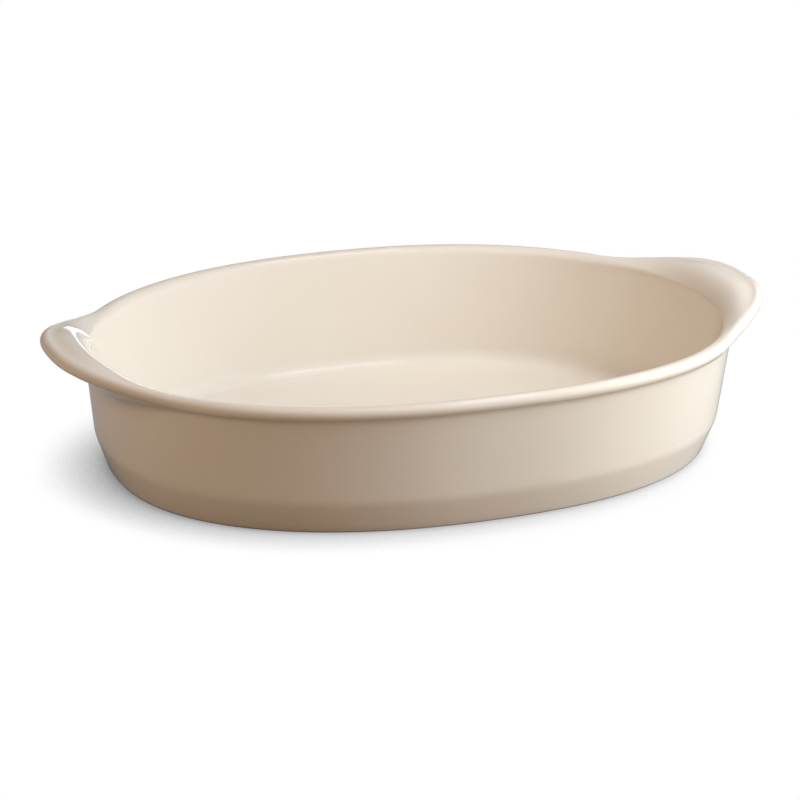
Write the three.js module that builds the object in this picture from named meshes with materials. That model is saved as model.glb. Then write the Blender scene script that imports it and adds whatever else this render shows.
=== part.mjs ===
// Oval baking dish: a fired clay body with a glossy glaze melted over it.
// Millimetres, +Z up. It stands on z = 0, with its length along X and a handle at each end.
import * as THREE from "three";
import { mergeVertices } from "three/addons/utils/BufferGeometryUtils.js";

// Overall sizes of the finished dish, over the glaze.
const LENGTH = 416; // over both handles
const WIDTH = 267; // over the rim bead
const RIM_HEIGHT = 73.5; // at the middle of the long sides
const RIM_SAG = 2.9; // how much lower the rim runs at the ends
const OVAL_POWER = 2.25; // 2 is a plain ellipse, a higher power is squarer

// Handles: the rim bead leaves the oval, out and up, and a dished web fills the space behind it.
const HANDLE_REACH = 23; // past the oval of the rim
const HANDLE_RISE = 9.3; // above the rim at the ends
const HANDLE_SPAN = 156; // across the dish, root to root
const HANDLE_SHOULDER = 1.57; // 1 is a plain wave, a higher power is broader at the tip
const HANDLE_FILLET = 12; // height of the hollow under a handle, where it runs into the wall
const HANDLE_BEAD_TURN = 20; // degrees that the bead shows on its inner side at a handle
const HANDLE_FLARE = 56; // degrees of steepness where a handle's web leaves the inner wall
const HANDLE_LIP_RADIUS = 2.8; // of the edge between the inner wall and a handle's web
const HANDLE_LIP_SHIFT = 3; // how far that edge lies out from the line of the inner wall

// Rim
const BEAD_WIDTH = 6.2;
const BEAD_HEIGHT = 6.4;
const BEAD_OVERHANG = 2.7; // past the wall below it
const BEAD_FILLET = 2.4; // height of the small hollow under the bead
const BEAD_UNDER_ANGLE = 55; // degrees that the bead turns under, below its widest point
const CROWN = 0.8; // between the middles of the lip and the bead
const CROWN_TURN = 12; // degrees that the top of the rim is arched on each side

// Wall, floor and foot
const WALL = 6; // clay at the rim
const INNER_DRAFT = 8.5; // degrees
const OUTER_DRAFT = 6.3; // degrees
const COVE_RADIUS = 9; // between the inner wall and the floor
const FLOOR = 4.4; // clay of the floor
const SKIRT_HEIGHT = 18; // of the tapered band above the foot
const SKIRT_TAPER = 20.3; // degrees
const SKIRT_BEND = 3; // length of the soft bend on each side of the corner
const FOOT_WIDTH = 8; // of the bare ring that the dish stands on
const FOOT_HEIGHT = 0.7; // recess of the underside inside the ring
const FOOT_EDGE = 1.2; // rounding of the foot's outer edge
const GLAZE = 0.35; // thickness of the glass

// Facets
const STATIONS = 60; // sections round the dish, evenly spaced along the rim bead
const ARC_STEPS = 3; // facets of a small rounding
const WEB_STEPS = 6; // facets across a handle's web
const BEAD_STEPS = 5; // facets over the top of the bead
const RIM_DIVISIONS = 2000; // for measuring along the rim bead
const MERGE = 1e-4; // points closer than this are one
const WEB_HOLD = 0.25; // how long a web keeps the direction of the bead, as a part of its width
const FLARE_HOLD = 0.7; // how long it keeps the steepness of its flare at a handle
const HOLLOW_HOLD = 0.3; // the same for the hollow under the bead

const { degToRad, lerp } = THREE.MathUtils;
const slope = (degrees) => Math.tan(degToRad(degrees));
const UP = new THREE.Vector3(0, 0, 1);

// Clay sizes that follow from those above.
const CLAY_TOP = RIM_HEIGHT - GLAZE;
const HALF_LENGTH = LENGTH / 2 - HANDLE_REACH - GLAZE;
const HALF_WIDTH = WIDTH / 2 - GLAZE;
const WALL_INSET = BEAD_OVERHANG + WALL;
const LIP_RADIUS = WALL_INSET - BEAD_WIDTH / 2 - CROWN;
const FLOOR_LEVEL = FOOT_HEIGHT + FLOOR;
const outerInset = (height) => BEAD_OVERHANG + (CLAY_TOP - BEAD_HEIGHT - height) * slope(OUTER_DRAFT);
const FOOT_INSET = outerInset(SKIRT_HEIGHT) + SKIRT_HEIGHT * slope(SKIRT_TAPER);

// The oval that the clay of the rim bead reaches, seen from above.
class RimOval extends THREE.Curve {
  getPoint(t, target = new THREE.Vector3()) {
    const angle = 2 * Math.PI * t;
    const along = Math.abs(Math.cos(angle)) / HALF_LENGTH;
    const across = Math.abs(Math.sin(angle)) / HALF_WIDTH;
    const radius = (along ** OVAL_POWER + across ** OVAL_POWER) ** (-1 / OVAL_POWER);
    return target.set(radius * Math.cos(angle), radius * Math.sin(angle), 0);
  }
}

// The middle line of the rim bead: the oval, with the ends drawn out and up into handles.
class BeadLine extends THREE.Curve {
  getPoint(t, target = new THREE.Vector3()) {
    const rim = oval.getPoint(t);
    target.copy(rim).addScaledVector(outward(oval, t), -BEAD_WIDTH / 2);
    const share = handleShare(target.y);
    target.x += Math.sign(target.x) * HANDLE_REACH * share;
    return target.setZ(rimTop(rim.x) - BEAD_HEIGHT / 2 + HANDLE_RISE * share);
  }
}

const oval = new RimOval();
const beadLine = new BeadLine();
beadLine.arcLengthDivisions = RIM_DIVISIONS;

// The level direction that points out of a closed line that runs anticlockwise.
function outward(curve, t) {
  const tangent = curve.getTangent(t);
  return new THREE.Vector3(tangent.y, -tangent.x, 0).normalize();
}

// How much of a handle's full reach and rise there is at a distance from the dish's middle line.
function handleShare(y) {
  const place = Math.min(1, Math.abs(y) / (HANDLE_SPAN / 2));
  return (1 + Math.cos(Math.PI * place ** HANDLE_SHOULDER)) / 2;
}

// Height of the clay of the rim, which dips from the middle of the long sides to the ends.
function rimTop(x) {
  return CLAY_TOP - RIM_SAG * (x / HALF_LENGTH) ** 2;
}

// Points of an arc about a centre given by its inset and height; angles in degrees, 0 is outward.
function arc(inset, height, radius, from, to, steps) {
  const curve = new THREE.ArcCurve(-inset, height, radius, degToRad(from), degToRad(to), to < from);
  return curve.getPoints(steps).map((p) => new THREE.Vector2(-p.x, p.y));
}

// Points of a soft bend at a corner, given by the corner and the points where the bend starts and ends.
function bend(start, corner, end) {
  return new THREE.QuadraticBezierCurve(start, corner, end).getPoints(ARC_STEPS);
}

// Steepness of the surface where it leaves the lip for the bead, in degrees.
function flare(share) {
  return lerp(CROWN_TURN, HANDLE_FLARE, share);
}

// A curve that leaves one point and reaches another along given directions, each held for a part of the way.
function blend(from, leaving, leavingHold, to, arriving, arrivingHold) {
  const width = from.distanceTo(to);
  return new THREE.CubicBezierCurve3(
    from,
    from.clone().addScaledVector(leaving, width * leavingHold),
    to.clone().addScaledVector(arriving, -width * arrivingHold),
    to,
  ).getPoints(WEB_STEPS);
}

// The inside of the section up to the top of the lip, as insets and heights.
function insideProfile(top, share) {
  const radius = lerp(LIP_RADIUS, HANDLE_LIP_RADIUS, share);
  const lipInset = WALL_INSET - HANDLE_LIP_SHIFT * share - radius;
  const lip = arc(lipInset, top - radius, radius, 180 - INNER_DRAFT, 90 + flare(share), ARC_STEPS);
  const drop = CLAY_TOP - FLOOR_LEVEL - COVE_RADIUS;
  const wallInset = WALL_INSET + drop * slope(INNER_DRAFT);
  const coveInset = wallInset + COVE_RADIUS / Math.cos(degToRad(INNER_DRAFT));
  const cove = arc(coveInset, FLOOR_LEVEL + COVE_RADIUS, COVE_RADIUS, -90, -INNER_DRAFT, ARC_STEPS + 1);
  return [...cove, ...lip];
}

// The outside of the section below the rim, down to the foot and under it.
function outsideProfile(wallTop) {
  const corner = new THREE.Vector2(outerInset(SKIRT_HEIGHT), SKIRT_HEIGHT);
  const above = new THREE.Vector2(outerInset(SKIRT_HEIGHT + SKIRT_BEND), SKIRT_HEIGHT + SKIRT_BEND);
  const below = new THREE.Vector2(corner.x + SKIRT_BEND * slope(SKIRT_TAPER), SKIRT_HEIGHT - SKIRT_BEND);
  const edge = new THREE.Vector2(FOOT_INSET, 0);
  const edgeStart = new THREE.Vector2(FOOT_INSET - FOOT_EDGE * slope(SKIRT_TAPER), FOOT_EDGE);
  const edgeEnd = new THREE.Vector2(FOOT_INSET + FOOT_EDGE, 0);
  return [
    new THREE.Vector2(outerInset(wallTop), wallTop),
    ...bend(above, corner, below),
    ...bend(edgeStart, edge, edgeEnd),
  ];
}

// The underside inside the foot ring: the ring's inner edge and the slope up to the recess.
const UNDERSIDE = [
  new THREE.Vector2(FOOT_INSET + FOOT_WIDTH, 0),
  new THREE.Vector2(FOOT_INSET + FOOT_WIDTH + FOOT_HEIGHT, FOOT_HEIGHT),
];

// The rim between the lip and the wall: the web of a handle, the bead and the hollow under it.
function rimPoints(t, lipTop, wallTop, out) {
  const middle = beadLine.getPoint(t);
  const beadOut = outward(beadLine, t);
  const onBead = (degrees) => {
    const angle = degToRad(degrees);
    const level = (share) => beadOut.clone().multiplyScalar((share * BEAD_WIDTH) / 2);
    const spoke = level(Math.cos(angle)).addScaledVector(UP, (Math.sin(angle) * BEAD_HEIGHT) / 2);
    const heading = level(Math.sin(angle)).addScaledVector(UP, (-Math.cos(angle) * BEAD_HEIGHT) / 2);
    return { point: spoke.add(middle), heading: heading.normalize() };
  };
  const share = handleShare(middle.y);
  const startAngle = 90 + lerp(-CROWN_TURN, HANDLE_BEAD_TURN, share);
  const start = onBead(startAngle);
  const end = onBead(-BEAD_UNDER_ANGLE);
  const offLip = UP.clone().multiplyScalar(slope(flare(share))).add(out).normalize();
  const flareHold = lerp(WEB_HOLD, FLARE_HOLD, share);
  const downWall = UP.clone().negate().addScaledVector(out, -slope(OUTER_DRAFT)).normalize();
  const bead = [];
  for (let step = 1; step < BEAD_STEPS; step++) {
    bead.push(onBead(startAngle * (1 - step / BEAD_STEPS)).point);
  }
  for (let step = 0; step < ARC_STEPS; step++) {
    bead.push(onBead((-BEAD_UNDER_ANGLE * step) / ARC_STEPS).point);
  }
  return [
    ...blend(lipTop, offLip, flareHold, start.point, start.heading, WEB_HOLD).slice(1),
    ...bead,
    ...blend(end.point, end.heading, HOLLOW_HOLD, wallTop, downWall, HOLLOW_HOLD).slice(0, -1),
  ];
}

// One section of the clay, from the middle of the floor over the rim to the middle of the underside.
function section(t) {
  const rim = oval.getPoint(t);
  const out = outward(oval, t);
  const top = rimTop(rim.x);
  const place = (p) => rim.clone().addScaledVector(out, -p.x).setZ(p.y);
  const share = handleShare(beadLine.getPoint(t).y);
  const wallTop = top - BEAD_HEIGHT - lerp(BEAD_FILLET, HANDLE_FILLET, share);
  const inside = insideProfile(top, share).map(place);
  const outside = outsideProfile(wallTop).map(place);
  const underside = UNDERSIDE.map(place);
  return {
    inside: [middleAt(inside[0]), ...inside],
    rim: rimPoints(t, inside.at(-1), outside[0], out),
    outside,
    underside: [...underside, middleAt(underside.at(-1))],
  };
}

// The middle of the dish at the height of a point.
function middleAt(point) {
  return new THREE.Vector3(0, 0, point.z);
}

// The normal of a surface given as sections, at one point of one section.
function normalAt(sections, index, row) {
  const count = sections.length;
  const line = sections[index];
  const round = sections[(index + 1) % count][row].clone().sub(sections[(index + count - 1) % count][row]);
  const along = line[Math.min(row + 1, line.length - 1)].clone().sub(line[Math.max(row - 1, 0)]);
  if (round.lengthSq() === 0) {
    return row === 0 ? UP.clone() : UP.clone().negate();
  }
  return along.cross(round).normalize();
}

// The same surface, moved out by a thickness.
function offset(sections, thickness) {
  return sections.map((line, index) =>
    line.map((point, row) => point.clone().addScaledVector(normalAt(sections, index, row), thickness)),
  );
}

// A closed body skinned over sections that run round an axis, each facet split along its shorter diagonal.
// A guide, where there is one, has the points that the diagonals are measured between.
function skin(sections, guide = sections) {
  const rows = sections[0].length;
  const points = sections.flat();
  const corners = guide.flat();
  const faces = [];
  for (let index = 0; index < sections.length; index++) {
    const next = (index + 1) % sections.length;
    for (let row = 0; row + 1 < rows; row++) {
      const [a, b] = [index * rows + row, index * rows + row + 1];
      const [c, d] = [next * rows + row, next * rows + row + 1];
      const shorter = corners[b].distanceTo(corners[c]) < corners[a].distanceTo(corners[d]);
      faces.push(...(shorter ? [a, b, c, b, d, c] : [a, b, d, a, d, c]));
    }
  }
  const loose = new THREE.BufferGeometry().setFromPoints(points).setIndex(faces);
  const merged = mergeVertices(loose, MERGE);
  return merged.setIndex(openFaces(merged.index.array));
}

// The triangles that have an area: those of a ring that shrank to a point are left out.
function openFaces(corners) {
  const kept = [];
  for (let first = 0; first < corners.length; first += 3) {
    const [a, b, c] = corners.slice(first, first + 3);
    if (a !== b && b !== c && c !== a) {
      kept.push(a, b, c);
    }
  }
  return kept;
}

// A coat of glass on a stretch of the clay's surface: out over its face and back along the clay.
// Its face is split into the same facets as the clay under it.
function coat(sections) {
  const face = offset(sections, GLAZE);
  const outAndBack = (line, outer) => [line[0], ...outer, ...line.toReversed()];
  const body = sections.map((line, index) => outAndBack(line, face[index]));
  const guide = sections.map((line) => outAndBack(line, line));
  return skin(body, guide);
}

const sections = Array.from({ length: STATIONS }, (_, index) =>
  section(beadLine.getUtoTmapping(index / STATIONS)),
);
const clay = sections.map((s) => [...s.inside, ...s.rim, ...s.outside, ...s.underside]);
const glazed = sections.map((s) => [...s.inside, ...s.rim, ...s.outside.slice(0, 1 - ARC_STEPS)]);
const glazedBase = sections.map((s) => s.underside.slice(1));

const glaze = { color: 0xeee2cf, roughness: 0.12, metalness: 0 };
const dish = new THREE.Group();
function addPiece(name, geometry, finish) {
  const mesh = new THREE.Mesh(geometry, new THREE.MeshStandardMaterial(finish));
  mesh.name = name;
  dish.add(mesh);
}
addPiece("stoneware_body", skin(clay), { color: 0xcdb292, roughness: 0.85, metalness: 0 });
addPiece("glaze_coat", coat(glazed), glaze);
addPiece("base_glaze", coat(glazedBase), glaze);

export default dish;
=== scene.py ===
"""Glazed stoneware baking dish: an oval bowl whose rim bead is drawn out into a lug handle at each end."""
import math
from typing import NamedTuple

import bmesh
import bpy
from mathutils import Matrix, Vector
from mathutils.geometry import interpolate_bezier


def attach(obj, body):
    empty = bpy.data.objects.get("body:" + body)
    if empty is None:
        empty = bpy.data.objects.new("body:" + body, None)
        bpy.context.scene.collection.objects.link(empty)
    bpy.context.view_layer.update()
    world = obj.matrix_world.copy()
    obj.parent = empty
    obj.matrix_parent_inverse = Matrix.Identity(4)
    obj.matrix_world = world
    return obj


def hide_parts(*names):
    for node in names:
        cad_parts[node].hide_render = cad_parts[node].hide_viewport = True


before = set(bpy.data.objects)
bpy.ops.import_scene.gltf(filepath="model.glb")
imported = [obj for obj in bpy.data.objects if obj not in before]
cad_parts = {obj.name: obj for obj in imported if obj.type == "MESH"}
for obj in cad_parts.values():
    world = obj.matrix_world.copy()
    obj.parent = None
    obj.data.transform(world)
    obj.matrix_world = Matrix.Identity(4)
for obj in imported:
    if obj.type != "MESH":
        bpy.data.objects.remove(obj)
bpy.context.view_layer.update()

bl_info = {
    "name": "Oval Baking Dish",
    "version": (1, 0, 0),
    "blender": (4, 5, 0),
    "location": "3D View > Sidebar > Dish",
    "description": "Makes a glazed stoneware baking dish with lug handles, and a plain studio stage",
    "category": "Add Mesh",
}

UP = Vector((0, 0, 1))

# Facets along one section of the dish
FLOOR_STEPS = 8
COVE_STEPS = 12
WALL_STEPS = 8
LIP_STEPS = 8
WEB_STEPS = 16
BEAD_STEPS = 20
HOLLOW_STEPS = 12
BEND_STEPS = 9
SKIRT_STEPS = 4
EDGE_STEPS = 6
BASE_STEPS = 6

# Points at the lower end of the foot's rounded edge that the glaze leaves bare
BARE_POINTS = 4

# Steps in which the bead is walked round to space the sections evenly
WALK_STEPS = 6000

# Above this bend an edge of the clay is drawn sharp
SHARP_BEND = math.radians(35)

# Blotches and cells of the patterns in the glaze and the clay, per metre
GLAZE_DRIFT, GLAZE_MOTTLE, GLAZE_RIPPLE, GLAZE_SPECKS = 11, 170, 260, 26
CLAY_CLOUD, CLAY_GRAIN, CLAY_GRIT = 35, 900, 420

# How much of the glaze's tone is slow drift, and where it turns from cream to warm
DRIFT_SHARE = 0.8
TONE_CREAM, TONE_WARM = 0.35, 0.65

# Bend of a ridge, per millimetre, at which the glaze starts to thin and is thinnest
RIDGE_START, RIDGE_FULL = 0.12, 0.5
RIDGE_MOTTLE = 0.12
RIDGE_STRENGTH = 0.35

# Core and edge of a speck, as shares of a cell
SPECK_CORE, SPECK_EDGE = 0.0056, 0.01

# Core and edge of a grain of grog, as shares of a cell
GROG_CORE, GROG_EDGE = 0.1, 0.3
GROG_STRENGTH = 0.6

# Share of the floor's sky at which the shadow is full, and at which there is none
SHADOW_FULL, SHADOW_NONE = 0.12, 0.61

FLOOR_HALF_SIZE = 6.0
SENSOR_WIDTH = 36


# Properties

def length(name, description, millimetres, low=0.0):
    """A length that the user can change, given in millimetres and kept in metres."""
    return bpy.props.FloatProperty(
        name=name, description=description, default=millimetres / 1000, min=low, precision=5, unit="LENGTH"
    )


def angle(name, description, degrees):
    """An angle that the user can change, given in degrees."""
    return bpy.props.FloatProperty(
        name=name, description=description, default=math.radians(degrees), subtype="ANGLE"
    )


def number(name, description, default, low=0.0, high=1000.0):
    """A plain number that the user can change."""
    return bpy.props.FloatProperty(
        name=name, description=description, default=default, min=low, max=high, precision=4
    )


def colour(name, description, default):
    """A linear colour that the user can change."""
    return bpy.props.FloatVectorProperty(
        name=name, description=description, default=default, size=3, min=0, max=1, subtype="COLOR"
    )


class DishSizes(bpy.types.PropertyGroup):
    """Sizes of the finished dish, over the glaze."""

    length: length("Length", "Over both handles", 416)
    width: length("Width", "Over the rim bead", 267)
    rim_height: length("Rim height", "At the middle of the long sides", 73.5)
    rim_sag: length("Rim sag", "How much lower the rim runs at the ends", 2.9)
    oval_power: number("Oval power", "2 is a plain ellipse, more is squarer", 2.25)
    handle_reach: length("Handle reach", "Past the oval of the rim", 23)
    handle_rise: length("Handle rise", "Above the rim at the ends", 9.3)
    handle_span: length("Handle span", "Across the dish, root to root", 156)
    handle_shoulder: number("Handle shoulder", "1 is a plain wave, more is broader at the tip", 1.57)
    handle_fillet: length("Handle fillet", "Height of the hollow under a handle", 12)
    handle_bead_turn: angle("Handle bead turn", "How far the bead turns down behind a handle's tip", 20)
    handle_flare: angle("Handle flare", "Steepness of a web where it leaves the inner wall", 56)
    handle_lip_radius: length("Handle lip radius", "Of the edge between the inner wall and a web", 2.8)
    handle_lip_shift: length("Handle lip shift", "How far that edge lies out from the inner wall", 3)
    bead_width: length("Bead width", "Across the rim bead", 6.2)
    bead_height: length("Bead height", "Up and down", 6.4)
    bead_overhang: length("Bead overhang", "Past the wall below it", 2.7)
    bead_fillet: length("Bead fillet", "Height of the small hollow under the bead", 2.4)
    bead_under: angle("Bead turn under", "How far the bead turns under, below its widest point", 55)
    crown: length("Crown", "Between the middles of the lip and the bead", 0.8)
    crown_turn: angle("Crown turn", "Arch of the top of the rim, on each side", 12)
    wall: length("Wall", "Clay at the rim", 6)
    inner_draft: angle("Inner draft", "Lean of the inner wall", 8.5)
    outer_draft: angle("Outer draft", "Lean of the outer wall", 6.3)
    cove_radius: length("Cove radius", "Between the inner wall and the floor", 9)
    floor: length("Floor", "Clay of the floor", 4.4)
    skirt_height: length("Skirt height", "Of the tapered band above the foot", 18)
    skirt_taper: angle("Skirt taper", "Lean of the tapered band", 20.3)
    skirt_bend: length("Skirt bend", "Length of the soft bend on each side of the corner", 3)
    foot_width: length("Foot width", "Of the bare ring that the dish stands on", 8)
    foot_height: length("Foot height", "Recess of the underside", 0.7)
    foot_edge: length("Foot edge", "Rounding of the foot's outer edge", 1.2)
    glaze: length("Glaze", "Thickness of the glass", 0.35)
    flare_hold: number("Flare hold", "How long a web keeps the steepness of its flare", 0.7)
    web_hold: number("Web hold", "How long a web keeps the direction of the bead", 0.25)
    hollow_hold: number("Hollow hold", "The same for the hollow under the bead", 0.3)
    stations: bpy.props.IntProperty(
        name="Stations", description="Sections round the dish", default=256, min=24, max=600
    )


class GlazeLook(bpy.types.PropertyGroup):
    """Colours and finish of the glass."""

    cream: colour("Cream", "The glaze where it is thick", (0.86, 0.81, 0.715))
    warm: colour("Warm cream", "Where the kiln was a little hotter", (0.845, 0.787, 0.683))
    thin: colour("Thin edge", "Where it drew thin over a ridge and the clay shows", (0.72, 0.62, 0.485))
    speck: colour("Speck", "Iron specks that burnt through", (0.16, 0.09, 0.045))
    roughness: number("Roughness", "Of the glossy surface", 0.05, 0.0, 1.0)


class ClayLook(bpy.types.PropertyGroup):
    """Colours and finish of the bare fired clay."""

    buff: colour("Buff", "Most of the clay", (0.60, 0.45, 0.30))
    grog: colour("Grog", "Darker grains in the clay", (0.38, 0.26, 0.16))
    roughness: number("Roughness", "Of the bare clay", 0.85, 0.0, 1.0)


class StageLook(bpy.types.PropertyGroup):
    """Camera, floor and light."""

    bearing: angle("Camera bearing", "Round the dish, from the front towards the right", -23.119)
    elevation: angle("Camera elevation", "Above the level", 20.223)
    distance: length("Camera distance", "From the point that it looks at", 1597.1)
    aim_right: length("Aim right", "Of the point looked at, from the middle of the foot", -5.803, low=-1)
    aim_up: length("Aim up", "Of the point looked at, from the middle of the foot", 23.71)
    roll: angle("Camera roll", "Turn of the picture", 1.4)
    lens: number("Lens", "Focal length in millimetres on a 36 mm sensor", 128.302)
    backdrop: colour("Backdrop", "Floor and backdrop as they are seen", (1, 1, 1))
    reflected: number("Reflected floor", "Brightness of the floor as the glaze reflects it", 0.35, 0.0, 1.0)
    shadow: colour("Shadow", "The floor where the dish hides the light", (0.06, 0.06, 0.06))
    shadow_reach: length("Shadow reach", "How far off the dish still hides light from the floor", 70)
    shadow_bearing: angle("Shadow bearing", "Bearing that most of the floor's light comes from", 92)
    shadow_tilt: angle("Shadow tilt", "Lean of that light from straight above", 20)
    floor_bounce: colour("Floor bounce", "The floor as it lights the dish", (0.31, 0.24, 0.17))
    air: colour("Air", "Even light from all round", (0.11, 0.034, 0.003))
    room: colour("Room", "The dim room, as the glaze reflects it", (0.15, 0.15, 0.15))


# The form of the dish

def arc(inset, height, radius, start, end, steps):
    """Insets and heights along an arc. Angles are from the level direction that points outward."""
    points = []
    for step in range(steps + 1):
        turn = start + (end - start) * step / steps
        points.append((inset - radius * math.cos(turn), height + radius * math.sin(turn)))
    return points


def bend(start, corner, end, steps):
    """Insets and heights of a soft bend at a corner."""
    points = []
    for step in range(steps + 1):
        s = step / steps
        weights = ((1 - s) ** 2, 2 * s * (1 - s), s * s)
        points.append(tuple(sum(w * p[i] for w, p in zip(weights, (start, corner, end))) for i in (0, 1)))
    return points


def straight(start, end, steps):
    """Insets and heights between two points, without the points themselves."""
    return [
        tuple(a + (b - a) * step / steps for a, b in zip(start, end)) for step in range(1, steps)
    ]


def blend(start, leaving, end, arriving, holds, steps):
    """Points of a curve that leaves one point and reaches another along given directions."""
    reach = (end - start).length
    return interpolate_bezier(
        start, start + leaving * (reach * holds[0]), end - arriving * (reach * holds[1]), end, steps + 1
    )


class DishForm:
    """The form of the clay, worked out from the sizes of the finished dish."""

    def __init__(self, sizes):
        self.sizes = sizes
        self.clay_top = sizes.rim_height - sizes.glaze
        self.half_length = sizes.length / 2 - sizes.handle_reach - sizes.glaze
        self.half_width = sizes.width / 2 - sizes.glaze
        self.wall_inset = sizes.bead_overhang + sizes.wall
        self.lip_radius = self.wall_inset - sizes.bead_width / 2 - sizes.crown
        self.floor_level = sizes.foot_height + sizes.floor
        skirt_inset = self.outer_inset(sizes.skirt_height)
        self.foot_inset = skirt_inset + sizes.skirt_height * math.tan(sizes.skirt_taper)

    def outer_inset(self, height):
        """Inset of the outer wall from the oval of the rim at a height."""
        sizes = self.sizes
        drop = self.clay_top - sizes.bead_height - height
        return sizes.bead_overhang + drop * math.tan(sizes.outer_draft)

    def oval(self, bearing):
        """A point of the oval that the clay of the rim bead reaches, and the level direction out of it."""
        power = self.sizes.oval_power
        along, across = math.cos(bearing), math.sin(bearing)
        spread = abs(along / self.half_length) ** power + abs(across / self.half_width) ** power
        reach = spread ** (-1 / power)
        point = Vector((reach * along, reach * across, 0))
        out = Vector((
            math.copysign(abs(point.x) ** (power - 1) / self.half_length ** power, along),
            math.copysign(abs(point.y) ** (power - 1) / self.half_width ** power, across),
            0,
        ))
        return point, out.normalized()

    def handle_share(self, y):
        """How much of a handle's full reach and rise there is at a distance from the middle line."""
        place = min(1.0, abs(y) / (self.sizes.handle_span / 2))
        return (1 + math.cos(math.pi * place ** self.sizes.handle_shoulder)) / 2

    def rim_top(self, x):
        """Height of the clay of the rim."""
        return self.clay_top - self.sizes.rim_sag * (x / self.half_length) ** 2

    def bead_middle(self, bearing):
        """A point of the middle line of the rim bead."""
        sizes = self.sizes
        rim, out = self.oval(bearing)
        point = rim - out * (sizes.bead_width / 2)
        share = self.handle_share(point.y)
        point.x += math.copysign(sizes.handle_reach * share, point.x)
        point.z = self.rim_top(rim.x) - sizes.bead_height / 2 + sizes.handle_rise * share
        return point

    def bead_out(self, bearing):
        """The level direction out of the middle line of the bead."""
        step = 1e-4
        along = self.bead_middle(bearing + step) - self.bead_middle(bearing - step)
        return Vector((along.y, -along.x, 0)).normalized()

    def bearings(self):
        """Bearings of the sections, evenly spaced along the middle line of the bead."""
        walked = [0.0]
        last = self.bead_middle(0)
        for step in range(1, WALK_STEPS + 1):
            here = self.bead_middle(2 * math.pi * step / WALK_STEPS)
            walked.append(walked[-1] + (here - last).length)
            last = here
        found, step = [], 0
        for station in range(self.sizes.stations):
            wanted = walked[-1] * station / self.sizes.stations
            while walked[step + 1] < wanted:
                step += 1
            part = (wanted - walked[step]) / (walked[step + 1] - walked[step])
            found.append(2 * math.pi * (step + part) / WALK_STEPS)
        return found

    def inside(self, top, share):
        """The floor from its middle, the cove, the inner wall and the lip, as insets and heights."""
        sizes = self.sizes
        radius = self.lip_radius + (sizes.handle_lip_radius - self.lip_radius) * share
        lip_inset = self.wall_inset - sizes.handle_lip_shift * share - radius
        lip_height = top - radius
        draft = sizes.inner_draft
        lip = arc(lip_inset, lip_height, radius, math.pi - draft, math.pi / 2 + self.flare(share), LIP_STEPS)
        drop = self.clay_top - self.floor_level - sizes.cove_radius
        cove_inset = self.wall_inset + drop * math.tan(draft) + sizes.cove_radius / math.cos(draft)
        cove_middle = self.floor_level + sizes.cove_radius
        cove = arc(cove_inset, cove_middle, sizes.cove_radius, -math.pi / 2, -draft, COVE_STEPS)
        return cove + straight(cove[-1], lip[0], WALL_STEPS) + lip

    def flare(self, share):
        """Steepness of the surface where it leaves the lip for the bead."""
        sizes = self.sizes
        return sizes.crown_turn + (sizes.handle_flare - sizes.crown_turn) * share

    def outside(self, wall_top):
        """The outer wall, the soft bend, the skirt and the rounded edge of the foot."""
        sizes = self.sizes
        start = (self.outer_inset(wall_top), wall_top)
        corner = (self.outer_inset(sizes.skirt_height), sizes.skirt_height)
        high = sizes.skirt_height + sizes.skirt_bend
        low = sizes.skirt_height - sizes.skirt_bend
        taper = math.tan(sizes.skirt_taper)
        below = (corner[0] + sizes.skirt_bend * taper, low)
        soft = bend((self.outer_inset(high), high), corner, below, BEND_STEPS)
        edge = bend(
            (self.foot_inset - sizes.foot_edge * taper, sizes.foot_edge),
            (self.foot_inset, 0),
            (self.foot_inset + sizes.foot_edge, 0),
            EDGE_STEPS,
        )
        wall = [start] + straight(start, soft[0], WALL_STEPS)
        return wall + soft + straight(soft[-1], edge[0], SKIRT_STEPS) + edge

    def underside(self):
        """The foot ring's inner part and the slope up to the recess."""
        sizes = self.sizes
        ring = (self.foot_inset + sizes.foot_width, 0)
        return [ring, (ring[0] + sizes.foot_height, sizes.foot_height)]

    def rim(self, bearing, lip_top, wall_top, out):
        """The web of a handle, the bead and the hollow under it."""
        sizes = self.sizes
        middle = self.bead_middle(bearing)
        bead_out = self.bead_out(bearing)
        share = self.handle_share(middle.y)

        def on_bead(turn):
            side, rise = math.cos(turn) * sizes.bead_width / 2, math.sin(turn) * sizes.bead_height / 2
            return middle + bead_out * side + UP * rise

        def down_bead(turn):
            side, rise = math.sin(turn) * sizes.bead_width / 2, -math.cos(turn) * sizes.bead_height / 2
            return (bead_out * side + UP * rise).normalized()

        first = math.pi / 2 - sizes.crown_turn + (sizes.crown_turn + sizes.handle_bead_turn) * share
        last = -sizes.bead_under
        off_lip = (out + UP * math.tan(self.flare(share))).normalized()
        down_wall = (-UP - out * math.tan(sizes.outer_draft)).normalized()
        web_holds = (sizes.web_hold + (sizes.flare_hold - sizes.web_hold) * share, sizes.web_hold)
        hollow_holds = (sizes.hollow_hold, sizes.hollow_hold)
        web = blend(lip_top, off_lip, on_bead(first), down_bead(first), web_holds, WEB_STEPS)
        bead = [on_bead(first + (last - first) * step / BEAD_STEPS) for step in range(1, BEAD_STEPS)]
        hollow = blend(on_bead(last), down_bead(last), wall_top, down_wall, hollow_holds, HOLLOW_STEPS)
        return web[1:] + bead + hollow[:-1]

    def section(self, bearing):
        """One section of the clay: its glazed face down to the foot, the bare foot and the base."""
        sizes = self.sizes
        rim, out = self.oval(bearing)
        top = self.rim_top(rim.x)
        share = self.handle_share(self.bead_middle(bearing).y)
        wall_top = top - sizes.bead_height - sizes.bead_fillet
        wall_top -= (sizes.handle_fillet - sizes.bead_fillet) * share

        def place(point):
            return rim - out * point[0] + UP * point[1]

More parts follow.
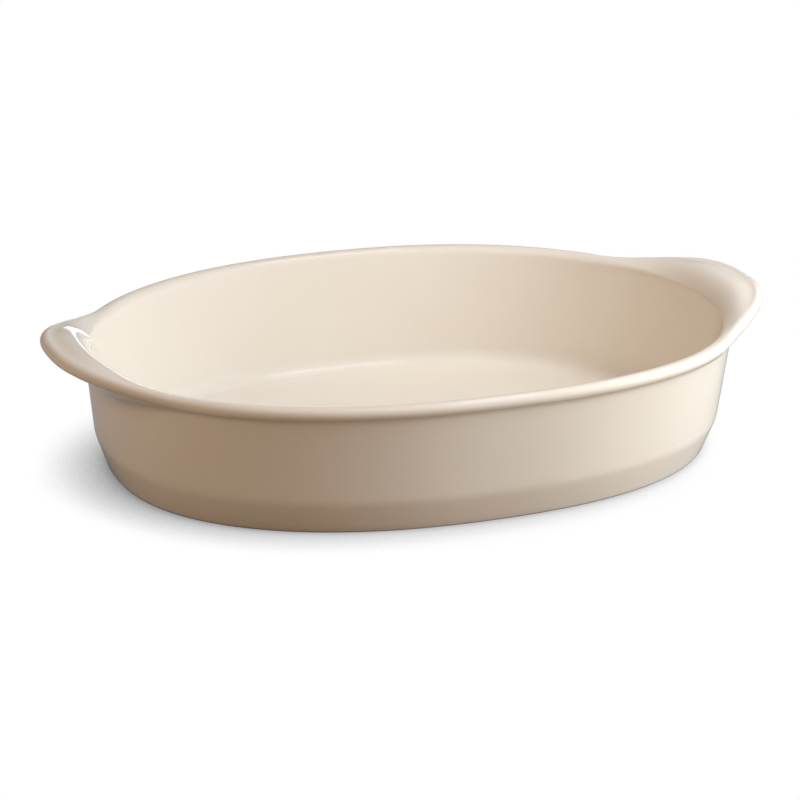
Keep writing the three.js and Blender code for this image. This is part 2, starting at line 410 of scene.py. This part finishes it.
        inside = [place(point) for point in self.inside(top, share)]
        outside = [place(point) for point in self.outside(wall_top)]
        underside = [place(point) for point in self.underside()]
        floor_middle = UP * inside[0].z
        base_middle = UP * underside[-1].z
        floor = [floor_middle.lerp(inside[0], step / FLOOR_STEPS) for step in range(FLOOR_STEPS)]
        base = [underside[-1].lerp(base_middle, step / BASE_STEPS) for step in range(BASE_STEPS + 1)]
        face = floor + inside + self.rim(bearing, inside[-1], outside[0], out) + outside[:-BARE_POINTS]
        return face, outside[-BARE_POINTS:] + underside[:1], base


def spun(sections, facing=UP):
    """A mesh spun from one section round the upright axis, each ring then drawn out to its sections.

    Its first ring faces the given way.
    """
    mesh_maker = bmesh.new()
    row_of = mesh_maker.verts.layers.int.new("row")
    last = None
    for row, point in enumerate(sections[0]):
        vert = mesh_maker.verts.new((point.xy.length, 0, point.z))
        vert[row_of] = row
        if last:
            mesh_maker.edges.new((last, vert))
        last = vert
    bmesh.ops.spin(
        mesh_maker, geom=mesh_maker.verts[:] + mesh_maker.edges[:], cent=(0, 0, 0), axis=UP,
        angle=2 * math.pi, steps=len(sections), use_merge=True,
    )
    turn = 2 * math.pi / len(sections)
    for vert in mesh_maker.verts:
        station = round(math.atan2(vert.co.y, vert.co.x) / turn) % len(sections)
        vert.co = sections[station][vert[row_of]]
    bmesh.ops.remove_doubles(mesh_maker, verts=mesh_maker.verts, dist=1e-6)
    bmesh.ops.recalc_face_normals(mesh_maker, faces=mesh_maker.faces)
    mesh_maker.normal_update()
    first = next(vert for vert in mesh_maker.verts if vert[row_of] == 0)
    if first.link_faces[0].normal.dot(facing) < 0:
        bmesh.ops.reverse_faces(mesh_maker, faces=mesh_maker.faces)
    mesh_maker.verts.layers.int.remove(mesh_maker.verts.layers.int["row"])
    return mesh_maker


def note_ridges(mesh_maker):
    """Keeps on each vertex how sharply the surface bends there, per millimetre.

    It is above 0 on a ridge and below 0 in a hollow.
    """
    ridge = mesh_maker.verts.layers.float.new("ridge")
    for vert in mesh_maker.verts:
        area = sum(face.calc_area() for face in vert.link_faces) / 4
        inner_edges = [edge for edge in vert.link_edges if not edge.is_boundary]
        bent = sum(edge.calc_face_angle_signed(0) * edge.calc_length() for edge in inner_edges)
        vert[ridge] = bent / (4 * area) / 1000


def finished(name, mesh_maker, material, node):
    """The piece as an object in its place, shown instead of the plain solid of the same part."""
    mesh = bpy.data.meshes.new(name)
    mesh_maker.to_mesh(mesh)
    mesh_maker.free()
    mesh.shade_smooth()
    mesh.materials.append(material)
    piece = bpy.data.objects.new(name, mesh)
    bpy.context.scene.collection.objects.link(piece)
    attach(piece, "root")
    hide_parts(node)
    return piece


# Materials

class Value:
    """A socket of a shader. Arithmetic on it adds the Math nodes that work the result out."""

    def __init__(self, shader, socket):
        self.shader = shader
        self.socket = socket

    def math(self, operation, first, second):
        return self.shader.node("ShaderNodeMath", {"operation": operation}, {0: first, 1: second})

    def __add__(self, other):
        return self.math("ADD", self, other)

    __radd__ = __add__

    def __sub__(self, other):
        return self.math("SUBTRACT", self, other)

    def __rsub__(self, other):
        return self.math("SUBTRACT", other, self)

    def __mul__(self, other):
        return self.math("MULTIPLY", self, other)

    __rmul__ = __mul__


class Shader:
    """The nodes of one material or of the world."""

    def __init__(self, owner):
        owner.use_nodes = True
        self.tree = owner.node_tree
        self.tree.nodes.clear()

    def node(self, kind, settings=None, inputs=None, output=0):
        """Adds a node of a kind, sets it up, feeds its sockets with values or links, and gives one output."""
        made = self.tree.nodes.new(kind)
        for name, value in (settings or {}).items():
            if name == "stops":
                self.set_stops(made.color_ramp, value)
            else:
                setattr(made, name, value)
        for name, value in (inputs or {}).items():
            if isinstance(value, Value):
                self.tree.links.new(value.socket, made.inputs[name])
            else:
                made.inputs[name].default_value = value
        return Value(self, made.outputs[output]) if made.outputs else None

    @staticmethod
    def set_stops(ramp, stops):
        """Puts stops of position and brightness on a ramp that has two."""
        for element, (position, level) in zip(ramp.elements, stops):
            element.position = position
            element.color = (level, level, level, 1)

    def mix(self, factor, first, second):
        """One colour going over into another."""
        first, second = (part if isinstance(part, Value) else (*part, 1) for part in (first, second))
        return self.node("ShaderNodeMix", {"data_type": "RGBA"}, {0: factor, 6: first, 7: second}, 2)

    def noise(self, place, scale, detail=2.0, roughness=0.5):
        """Soft random blotches; the scale is in blotches per metre."""
        sockets = {"Vector": place, "Scale": scale, "Detail": detail, "Roughness": roughness}
        return self.node("ShaderNodeTexNoise", {}, sockets)

    def seen(self):
        """1 for rays that show the surroundings, straight, in gloss or in glass, and 0 for the others."""
        kinds = ("Is Camera Ray", "Is Glossy Ray", "Is Transmission Ray")
        camera, gloss, glass = (self.node("ShaderNodeLightPath", output=kind) for kind in kinds)
        return camera + gloss + glass

    def ramp(self, value, low, high):
        """0 up to a low value, 1 from a high one, and even between."""
        return self.node("ShaderNodeValToRGB", {"stops": ((low, 0), (high, 1))}, {"Fac": value})


def glaze_material(look):
    """Glossy cream glass with a drift of tone, mottling, thin ridges, iron specks and a faint ripple."""
    material = bpy.data.materials.get("cream_glaze") or bpy.data.materials.new("cream_glaze")
    shader = Shader(material)
    place = shader.node("ShaderNodeTexCoord", output="Object")
    drift = shader.noise(place, GLAZE_DRIFT, 2)
    mottle = shader.noise(place, GLAZE_MOTTLE, 4, 0.6)
    ripple = shader.noise(place, GLAZE_RIPPLE, 1)
    ridge = shader.node("ShaderNodeAttribute", {"attribute_name": "ridge"}, output="Fac")
    spot = shader.node("ShaderNodeTexVoronoi", {}, {"Vector": place, "Scale": GLAZE_SPECKS})
    warmth = shader.ramp(drift * DRIFT_SHARE + mottle * (1 - DRIFT_SHARE), TONE_CREAM, TONE_WARM)
    tone = shader.mix(warmth, tuple(look.cream), tuple(look.warm))
    thinness = shader.ramp(ridge + RIDGE_MOTTLE * mottle, RIDGE_START, RIDGE_FULL) * RIDGE_STRENGTH
    thinned = shader.mix(thinness, tone, tuple(look.thin))
    speckled = shader.mix(1 - shader.ramp(spot, SPECK_CORE, SPECK_EDGE), thinned, tuple(look.speck))
    bump = shader.node("ShaderNodeBump", {}, {"Strength": 0.02, "Distance": 0.001, "Height": ripple})
    surface = shader.node(
        "ShaderNodeBsdfPrincipled",
        {},
        {
            "Base Color": speckled,
            "Roughness": look.roughness - 0.02 + 0.04 * mottle,
            "IOR": 1.5,
            "Normal": bump,
        },
    )
    shader.node("ShaderNodeOutputMaterial", {}, {"Surface": surface})
    return material


def clay_material(look):
    """Bare fired clay: matt buff with darker grains and a sandy tooth."""
    material = bpy.data.materials.get("bare_clay") or bpy.data.materials.new("bare_clay")
    shader = Shader(material)
    place = shader.node("ShaderNodeTexCoord", output="Object")
    cloud = shader.noise(place, CLAY_CLOUD, 3)
    grain = shader.noise(place, CLAY_GRAIN, 3, 0.65)
    grit = shader.node("ShaderNodeTexVoronoi", {}, {"Vector": place, "Scale": CLAY_GRIT})
    body = shader.mix(cloud * 0.5, tuple(look.buff), tuple(0.85 * part for part in look.buff))
    grog = (1 - shader.ramp(grit, GROG_CORE, GROG_EDGE)) * GROG_STRENGTH
    speckled = shader.mix(grog, body, tuple(look.grog))
    bump = shader.node("ShaderNodeBump", {}, {"Strength": 0.35, "Distance": 0.0004, "Height": grain})
    surface = shader.node(
        "ShaderNodeBsdfPrincipled",
        {},
        {"Base Color": speckled, "Roughness": look.roughness - 0.1 + 0.2 * grain, "Normal": bump},
    )
    shader.node("ShaderNodeOutputMaterial", {}, {"Surface": surface})
    return material


# Operators

def make_glass(scene, name, node, sections, facing=UP):
    """A coat of glass of even thickness over a part of the clay's surface."""
    face = spun(sections, facing)
    note_ridges(face)
    piece = finished(name, face, glaze_material(scene.dish_glaze), node)
    coat = piece.modifiers.new("Glass thickness", "SOLIDIFY")
    coat.thickness = scene.dish_sizes.glaze
    coat.offset = 1


class DISH_OT_clay(bpy.types.Operator):
    """Make the fired clay body with its bare foot ring"""

    bl_idname = "dish.clay"
    bl_label = "Clay body"

    def execute(self, context):
        form = DishForm(context.scene.dish_sizes)
        sections = []
        for bearing in form.bearings():
            face, foot, base = form.section(bearing)
            sections.append(face + foot + base)
        clay = spun(sections)
        piece = finished("clay_body", clay, clay_material(context.scene.dish_clay), "stoneware_body")
        piece.data.set_sharp_from_angle(angle=SHARP_BEND)
        return {"FINISHED"}


class DISH_OT_glaze(bpy.types.Operator):
    """Make the coat of glass over the inside, the rim, the handles and the outside"""

    bl_idname = "dish.glaze"
    bl_label = "Glaze coat"

    def execute(self, context):
        form = DishForm(context.scene.dish_sizes)
        faces = [form.section(bearing)[0] for bearing in form.bearings()]
        make_glass(context.scene, "glaze_skin", "glaze_coat", faces)
        return {"FINISHED"}


class DISH_OT_base_glaze(bpy.types.Operator):
    """Make the patch of glass on the recessed underside"""

    bl_idname = "dish.base_glaze"
    bl_label = "Base glaze"

    def execute(self, context):
        form = DishForm(context.scene.dish_sizes)
        bases = [form.section(bearing)[2] for bearing in form.bearings()]
        make_glass(context.scene, "base_skin", "base_glaze", bases, facing=-UP)
        return {"FINISHED"}


class Lamp(NamedTuple):
    """A soft rectangular lamp that faces the dish, in degrees, metres and watts.

    The glaze shows the lamp itself only where it is a reflected one.
    """

    name: str
    bearing: float
    elevation: float
    distance: float
    width: float
    height: float
    colour: tuple
    power: float
    reflected: bool


LAMPS = (
    Lamp("side_panel", 60, 12, 0.75, 0.45, 0.45, (0.83, 0.92, 1.0), 2.5, False),
    Lamp("side_fill", 60, 16, 0.85, 0.5, 0.5, (0.83, 0.92, 1.0), 0.85, True),
    Lamp("side_panel_high", 60, 40, 0.75, 0.4, 0.4, (0.94, 0.97, 1.0), 1.32, False),
    Lamp("front_card", 30, 38, 0.75, 0.4, 0.4, (0.95, 0.97, 1.0), 1.45, False),
    Lamp("window_high", 60, 55, 2.0, 1.0, 1.0, (0.77, 0.88, 1.0), 15.9, False),
    Lamp("spot_high", 84, 69, 2.0, 0.18, 0.35, (1.0, 1.0, 1.0), 2.0, True),
    Lamp("back_panel", 150, 10, 2.0, 1.0, 1.0, (0.97, 0.98, 1.0), 12.8, False),
    Lamp("back_strip", 158, 4, 2.0, 0.95, 0.14, (1.0, 1.0, 1.0), 0.84, True),
    Lamp("wall_bounce", -90, 30, 2.0, 1.0, 1.0, (1.0, 0.89, 0.78), 11.2, False),
    Lamp("warm_bounce", -30, 30, 2.0, 1.0, 1.0, (1.0, 0.72, 0.42), 2.0, False),
)


def heading(bearing, rise):
    """The direction at a bearing, from the front towards the right, and a rise above the level."""
    level = math.cos(rise)
    return Vector((math.sin(bearing) * level, -math.cos(bearing) * level, math.sin(rise)))


class DISH_OT_stage(bpy.types.Operator):
    """Set up the floor, the lamps and the camera"""

    bl_idname = "dish.stage"
    bl_label = "Stage"

    def execute(self, context):
        scene = context.scene
        look = scene.dish_stage
        self.make_floor(scene, look)
        self.make_light(scene, look)
        self.make_camera(scene, look)
        scene.view_settings.view_transform = "Standard"
        return {"FINISHED"}

    @staticmethod
    def make_floor(scene, look):
        """A wide white floor with the dish's soft shadow, which lights the dish as a dull table does."""
        mesh_maker = bmesh.new()
        bmesh.ops.create_grid(mesh_maker, x_segments=1, y_segments=1, size=FLOOR_HALF_SIZE)
        mesh = bpy.data.meshes.new("floor")
        mesh_maker.to_mesh(mesh)
        mesh_maker.free()
        floor = bpy.data.objects.new("floor", mesh)
        scene.collection.objects.link(floor)
        material = bpy.data.materials.new("pale_floor")
        shader = Shader(material)
        lean = heading(look.shadow_bearing, math.pi / 2 - look.shadow_tilt)
        toward = shader.node("ShaderNodeCombineXYZ", {}, dict(enumerate(lean)))
        sockets = {"Distance": look.shadow_reach, "Normal": toward}
        clear = shader.node("ShaderNodeAmbientOcclusion", {"samples": 16}, sockets, "AO")
        lit = shader.ramp(clear, SHADOW_FULL, SHADOW_NONE)
        tone = shader.mix(lit, tuple(look.shadow), tuple(look.backdrop))
        camera = shader.node("ShaderNodeLightPath", output="Is Camera Ray")
        strength = camera * (1 - look.reflected) + look.reflected
        white = shader.node("ShaderNodeEmission", {}, {"Color": tone, "Strength": strength})
        dull = shader.node("ShaderNodeBsdfDiffuse", {}, {"Color": (*look.floor_bounce, 1)})
        surface = shader.node("ShaderNodeMixShader", {}, {0: shader.seen(), 1: dull, 2: white})
        shader.node("ShaderNodeOutputMaterial", {}, {"Surface": surface})
        mesh.materials.append(material)

    @staticmethod
    def make_light(scene, look):
        """Even air, soft lamps, a white backdrop for the camera and a dim room for the glaze to reflect."""
        scene.world = bpy.data.worlds.new("studio")
        shader = Shader(scene.world)
        camera = shader.node("ShaderNodeLightPath", output="Is Camera Ray")
        shown = shader.mix(camera, tuple(look.room), tuple(look.backdrop))
        sky = shader.mix(shader.seen(), tuple(look.air), shown)
        background = shader.node("ShaderNodeBackground", {}, {"Color": sky, "Strength": 1.0})
        shader.node("ShaderNodeOutputWorld", {}, {"Surface": background})
        for lamp in LAMPS:
            light = bpy.data.lights.new(lamp.name, "AREA")
            light.shape = "RECTANGLE"
            light.size, light.size_y = lamp.width, lamp.height
            light.color = lamp.colour
            light.energy = lamp.power
            holder = bpy.data.objects.new(lamp.name, light)
            toward = heading(math.radians(lamp.bearing), math.radians(lamp.elevation))
            turned = toward.to_track_quat("Z", "Y").to_matrix().to_4x4()
            holder.matrix_world = Matrix.Translation(toward * lamp.distance) @ turned
            holder.visible_glossy = lamp.reflected
            scene.collection.objects.link(holder)

    @staticmethod
    def make_camera(scene, look):
        """A long lens from the front left, a little above the rim."""
        bearing, rise = look.bearing, look.elevation
        back = heading(bearing, rise)
        right = Vector((math.cos(bearing), math.sin(bearing), 0))
        up = back.cross(right)
        place = right * look.aim_right + up * look.aim_up + back * look.distance
        turned = Matrix.Rotation(look.roll, 4, back)
        axes = Matrix((right, up, back)).transposed().to_4x4()
        camera = bpy.data.objects.new("camera", bpy.data.cameras.new("camera"))
        camera.data.lens = look.lens
        camera.data.sensor_width = SENSOR_WIDTH
        camera.matrix_world = Matrix.Translation(place) @ turned @ axes
        scene.collection.objects.link(camera)
        scene.camera = camera


class DISH_PT_sidebar(bpy.types.Panel):
    """The dish's operators and sizes in the sidebar"""

    bl_idname = "DISH_PT_sidebar"
    bl_label = "Oval Baking Dish"
    bl_space_type = "VIEW_3D"
    bl_region_type = "UI"
    bl_category = "Dish"

    def draw(self, context):
        column = self.layout.column()
        for operator in OPERATORS:
            column.operator(operator.bl_idname)
        for name, group in GROUPS.items():
            box = column.box()
            for item in group.__annotations__:
                box.prop(getattr(context.scene, name), item)


OPERATORS = (DISH_OT_clay, DISH_OT_glaze, DISH_OT_base_glaze, DISH_OT_stage)
GROUPS = {"dish_sizes": DishSizes, "dish_glaze": GlazeLook, "dish_clay": ClayLook, "dish_stage": StageLook}


def register():
    for made in (*GROUPS.values(), *OPERATORS, DISH_PT_sidebar):
        bpy.utils.register_class(made)
    for name, group in GROUPS.items():
        setattr(bpy.types.Scene, name, bpy.props.PointerProperty(type=group))


def unregister():
    for name in GROUPS:
        delattr(bpy.types.Scene, name)
    for made in reversed((*GROUPS.values(), *OPERATORS, DISH_PT_sidebar)):
        bpy.utils.unregister_class(made)


def main():
    register()
    bpy.ops.dish.clay()
    bpy.ops.dish.glaze()
    bpy.ops.dish.base_glaze()
    bpy.ops.dish.stage()


if __name__ == "__main__":
    main()
